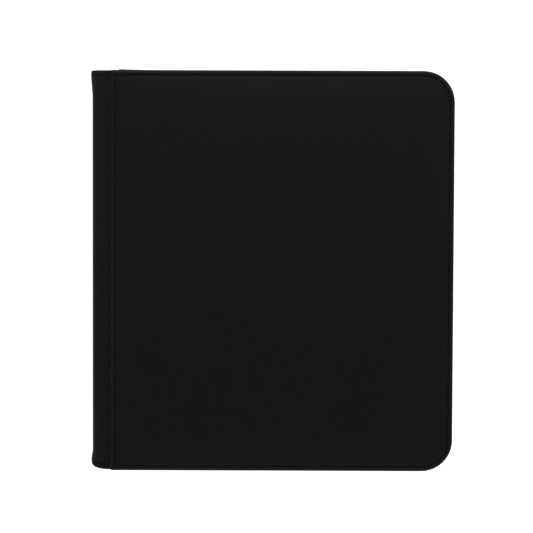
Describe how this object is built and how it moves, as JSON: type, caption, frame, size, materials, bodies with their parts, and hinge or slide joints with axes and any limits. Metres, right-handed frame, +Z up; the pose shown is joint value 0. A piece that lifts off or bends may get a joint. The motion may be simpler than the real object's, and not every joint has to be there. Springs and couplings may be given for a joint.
{
  "type": "zip-around trading card binder",
  "caption": "Large zip-around card binder with padded black covers, a flat spine, a zip wall on three sides and leaves of clear side-loading pockets.",
  "frame": {"origin": "under the middle of the back cover, on the plane the closed binder lies on", "axes": "+Z up through the closed binder to the front cover, +Y along the spine to the head, +X from the spine to the fore-edge"},
  "size_m": [0.32, 0.356, 0.042],
  "materials": {
    "leather": "satin",
    "foam": "matte",
    "board": "matte",
    "lining": "matte",
    "thread": "satin",
    "zip_tape": "matte",
    "zip_coil": "satin",
    "zip_metal": "satin",
    "pull": "matte",
    "binding": "matte",
    "page_film": "gloss"
  },
  "bodies": {
    "back_cover": {"back_cover_skin": "leather", "back_hinge_strip": "leather", "back_cover_foam": "foam", "back_cover_board": "board", "back_cover_lining": "lining", "back_panel_thread": "thread", "back_strip_thread_head": "thread", "back_strip_thread_tail": "thread", "back_gusset": "leather", "back_zip_tape": "zip_tape", "back_zip_teeth": "zip_coil", "zip_stop_head": "zip_metal", "zip_stop_tail": "zip_metal"},
    "spine": {"spine_skin": "leather", "spine_board": "board", "spine_lining": "lining", "page_binding_strip": "binding", "page_tabs": "page_film", "binding_spacers": "binding"},
    "front_cover": {"front_cover_skin": "leather", "front_hinge_strip": "leather", "front_cover_foam": "foam", "front_cover_board": "board", "front_cover_lining": "lining", "front_panel_thread": "thread", "front_strip_thread_head": "thread", "front_strip_thread_tail": "thread", "front_gusset": "leather", "front_zip_tape": "zip_tape", "front_zip_teeth": "zip_coil"},
    "slider": {"zip_slider": "zip_metal", "zip_pull_pin": "zip_metal"},
    "pull": {"zip_pull": "pull"},
    "leaf_01": {"leaf_01": "page_film"},
    "leaf_02": {"leaf_02": "page_film"},
    "leaf_03": {"leaf_03": "page_film"},
    "leaf_04": {"leaf_04": "page_film"},
    "leaf_05": {"leaf_05": "page_film"},
    "leaf_06": {"leaf_06": "page_film"},
    "leaf_07": {"leaf_07": "page_film"},
    "leaf_08": {"leaf_08": "page_film"},
    "leaf_09": {"leaf_09": "page_film"},
    "leaf_10": {"leaf_10": "page_film"},
    "leaf_11": {"leaf_11": "page_film"},
    "leaf_12": {"leaf_12": "page_film"},
    "leaf_13": {"leaf_13": "page_film"},
    "leaf_14": {"leaf_14": "page_film"},
    "leaf_15": {"leaf_15": "page_film"},
    "leaf_16": {"leaf_16": "page_film"},
    "leaf_17": {"leaf_17": "page_film"},
    "leaf_18": {"leaf_18": "page_film"},
    "leaf_19": {"leaf_19": "page_film"},
    "leaf_20": {"leaf_20": "page_film"}
  },
  "joints": [
    {"name": "spine_hinge", "type": "hinge", "parent": "back_cover", "child": "spine", "pos_m": [-0.157, 0, 0.0054], "axis": [0, -1, 0], "range_deg": [0, 90]},
    {"name": "front_cover_hinge", "type": "hinge", "parent": "spine", "child": "front_cover", "pos_m": [-0.157, 0, 0.0366], "axis": [0, -1, 0], "range_deg": [0, 90]},
    {"name": "slider_slide", "type": "slide", "parent": "back_cover", "child": "slider", "axis": [1, 0, 0], "range_m": [0, 0.24]},
    {"name": "pull_hinge", "type": "hinge", "parent": "slider", "child": "pull", "pos_m": [-0.1368, 0.177, 0.021], "axis": [0, 0, 1], "range_deg": [0, 170]},
    {"name": "leaf_01_hinge", "type": "hinge", "parent": "spine", "child": "leaf_01", "pos_m": [-0.1534, 0, 0.00789], "axis": [0, -1, 0], "range_deg": [-90, 0]},
    {"name": "leaf_02_hinge", "type": "hinge", "parent": "spine", "child": "leaf_02", "pos_m": [-0.1523, 0, 0.00927], "axis": [0, -1, 0], "range_deg": [-90, 0]},
    {"name": "leaf_03_hinge", "type": "hinge", "parent": "spine", "child": "leaf_03", "pos_m": [-0.1512, 0, 0.01065], "axis": [0, -1, 0], "range_deg": [-90, 0]},
    {"name": "leaf_04_hinge", "type": "hinge", "parent": "spine", "child": "leaf_04", "pos_m": [-0.1501, 0, 0.01203], "axis": [0, -1, 0], "range_deg": [-90, 0]},
    {"name": "leaf_05_hinge", "type": "hinge", "parent": "spine", "child": "leaf_05", "pos_m": [-0.149, 0, 0.01341], "axis": [0, -1, 0], "range_deg": [-90, 0]},
    {"name": "leaf_06_hinge", "type": "hinge", "parent": "spine", "child": "leaf_06", "pos_m": [-0.1479, 0, 0.01479], "axis": [0, -1, 0], "range_deg": [-90, 0]},
    {"name": "leaf_07_hinge", "type": "hinge", "parent": "spine", "child": "leaf_07", "pos_m": [-0.1468, 0, 0.01617], "axis": [0, -1, 0], "range_deg": [-90, 0]},
    {"name": "leaf_08_hinge", "type": "hinge", "parent": "spine", "child": "leaf_08", "pos_m": [-0.1457, 0, 0.01755], "axis": [0, -1, 0], "range_deg": [-90, 0]},
    {"name": "leaf_09_hinge", "type": "hinge", "parent": "spine", "child": "leaf_09", "pos_m": [-0.1446, 0, 0.01893], "axis": [0, -1, 0], "range_deg": [-90, 0]},
    {"name": "leaf_10_hinge", "type": "hinge", "parent": "spine", "child": "leaf_10", "pos_m": [-0.1435, 0, 0.02031], "axis": [0, -1, 0], "range_deg": [-90, 0]},
    {"name": "leaf_11_hinge", "type": "hinge", "parent": "spine", "child": "leaf_11", "pos_m": [-0.1435, 0, 0.02169], "axis": [0, -1, 0], "range_deg": [0, 90]},
    {"name": "leaf_12_hinge", "type": "hinge", "parent": "spine", "child": "leaf_12", "pos_m": [-0.1446, 0, 0.02307], "axis": [0, -1, 0], "range_deg": [0, 90]},
    {"name": "leaf_13_hinge", "type": "hinge", "parent": "spine", "child": "leaf_13", "pos_m": [-0.1457, 0, 0.02445], "axis": [0, -1, 0], "range_deg": [0, 90]},
    {"name": "leaf_14_hinge", "type": "hinge", "parent": "spine", "child": "leaf_14", "pos_m": [-0.1468, 0, 0.02583], "axis": [0, -1, 0], "range_deg": [0, 90]},
    {"name": "leaf_15_hinge", "type": "hinge", "parent": "spine", "child": "leaf_15", "pos_m": [-0.1479, 0, 0.02721], "axis": [0, -1, 0], "range_deg": [0, 90]},
    {"name": "leaf_16_hinge", "type": "hinge", "parent": "spine", "child": "leaf_16", "pos_m": [-0.149, 0, 0.02859], "axis": [0, -1, 0], "range_deg": [0, 90]},
    {"name": "leaf_17_hinge", "type": "hinge", "parent": "spine", "child": "leaf_17", "pos_m": [-0.1501, 0, 0.02997], "axis": [0, -1, 0], "range_deg": [0, 90]},
    {"name": "leaf_18_hinge", "type": "hinge", "parent": "spine", "child": "leaf_18", "pos_m": [-0.1512, 0, 0.03135], "axis": [0, -1, 0], "range_deg": [0, 90]},
    {"name": "leaf_19_hinge", "type": "hinge", "parent": "spine", "child": "leaf_19", "pos_m": [-0.1523, 0, 0.03273], "axis": [0, -1, 0], "range_deg": [0, 90]},
    {"name": "leaf_20_hinge", "type": "hinge", "parent": "spine", "child": "leaf_20", "pos_m": [-0.1534, 0, 0.03411], "axis": [0, -1, 0], "range_deg": [0, 90]}
  ],
  "couplings": [
    {"joint": "front_cover_hinge", "follows": "spine_hinge", "ratio": 1},
    {"joint": "leaf_01_hinge", "follows": "spine_hinge", "ratio": -1},
    {"joint": "leaf_02_hinge", "follows": "spine_hinge", "ratio": -1},
    {"joint": "leaf_03_hinge", "follows": "spine_hinge", "ratio": -1},
    {"joint": "leaf_04_hinge", "follows": "spine_hinge", "ratio": -1},
    {"joint": "leaf_05_hinge", "follows": "spine_hinge", "ratio": -1},
    {"joint": "leaf_06_hinge", "follows": "spine_hinge", "ratio": -1},
    {"joint": "leaf_07_hinge", "follows": "spine_hinge", "ratio": -1},
    {"joint": "leaf_08_hinge", "follows": "spine_hinge", "ratio": -1},
    {"joint": "leaf_09_hinge", "follows": "spine_hinge", "ratio": -1},
    {"joint": "leaf_10_hinge", "follows": "spine_hinge", "ratio": -1},
    {"joint": "leaf_11_hinge", "follows": "spine_hinge", "ratio": 1},
    {"joint": "leaf_12_hinge", "follows": "spine_hinge", "ratio": 1},
    {"joint": "leaf_13_hinge", "follows": "spine_hinge", "ratio": 1},
    {"joint": "leaf_14_hinge", "follows": "spine_hinge", "ratio": 1},
    {"joint": "leaf_15_hinge", "follows": "spine_hinge", "ratio": 1},
    {"joint": "leaf_16_hinge", "follows": "spine_hinge", "ratio": 1},
    {"joint": "leaf_17_hinge", "follows": "spine_hinge", "ratio": 1},
    {"joint": "leaf_18_hinge", "follows": "spine_hinge", "ratio": 1},
    {"joint": "leaf_19_hinge", "follows": "spine_hinge", "ratio": 1},
    {"joint": "leaf_20_hinge", "follows": "spine_hinge", "ratio": 1}
  ]
}
